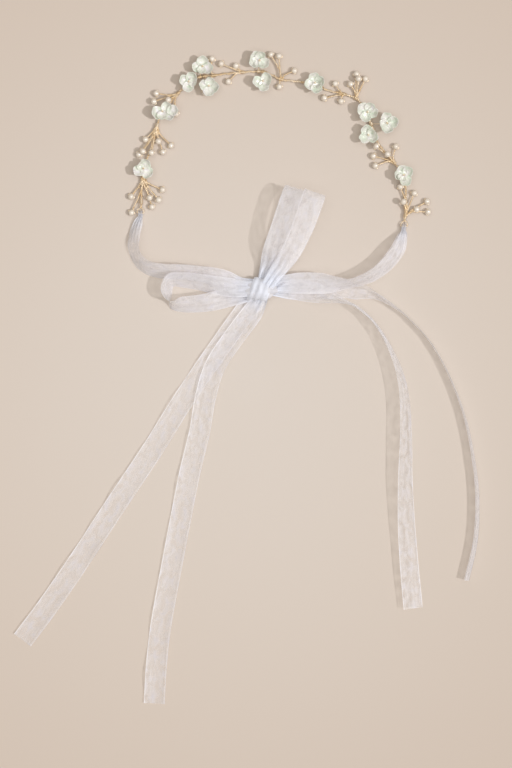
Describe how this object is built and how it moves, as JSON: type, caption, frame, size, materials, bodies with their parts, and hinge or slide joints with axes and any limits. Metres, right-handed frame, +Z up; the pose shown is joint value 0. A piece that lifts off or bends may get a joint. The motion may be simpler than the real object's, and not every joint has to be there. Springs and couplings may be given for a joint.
{
  "type": "flower crown",
  "caption": "Bridal hair vine of gold wire with moulded flowers and pearl sprays, tied behind the head with a bow of sheer ribbon that swings on the wire's end eyelets.",
  "frame": {"origin": "middle of the bounding box, on the surface that the crown lies on", "axes": "+Y from the ribbon tails towards the vine's arch, +X to the right as seen from above, +Z up off the surface"},
  "size_m": [0.2892, 0.4044, 0.02],
  "materials": {
    "gold_wire": "twisted champagne-gold wire",
    "pearl": "cream pearl lustre, on gold wire stems",
    "petal": "white shell lustre with mint and pink lights",
    "organza": "sheer white organza with woven edges"
  },
  "bodies": {
    "vine": {"core_wire": "gold_wire", "flower_01": "petal", "flower_02": "petal", "flower_03": "petal", "flower_04": "petal", "flower_05": "petal", "flower_06": "petal", "flower_07": "petal", "flower_08": "petal", "flower_09": "petal", "flower_10": "petal", "flower_11": "petal", "flower_12": "petal", "flower_wire_01": "gold_wire", "flower_wire_02": "gold_wire", "flower_wire_03": "gold_wire", "flower_wire_04": "gold_wire", "flower_wire_05": "gold_wire", "flower_wire_06": "gold_wire", "flower_wire_07": "gold_wire", "flower_wire_08": "gold_wire", "flower_wire_09": "gold_wire", "flower_wire_10": "gold_wire", "flower_wire_11": "gold_wire", "flower_wire_12": "gold_wire", "left_end_wrap": "gold_wire", "pearl_spray_01": "pearl", "pearl_spray_02": "pearl", "pearl_spray_03": "pearl", "pearl_spray_04": "pearl", "pearl_spray_05": "pearl", "pearl_spray_06": "pearl", "pearl_spray_07": "pearl", "pearl_spray_08": "pearl", "pearl_spray_09": "pearl", "pearl_spray_10": "pearl", "right_end_wrap": "gold_wire"},
    "ribbon_bow": {"bow_knot": "organza", "left_loop": "organza", "left_strap": "organza", "right_strap": "organza", "side_loop": "organza", "upper_loop": "organza", "tail_1": "organza", "tail_2": "organza", "tail_3": "organza", "tail_4": "organza"}
  },
  "joints": [
    {"name": "ribbon_swing", "type": "hinge", "parent": "vine", "child": "ribbon_bow", "pos_m": [0.01472, 0.09712, 0.002], "axis": [-0.9987, 0.0501, 0], "range_deg": [-90, 120]}
  ]
}
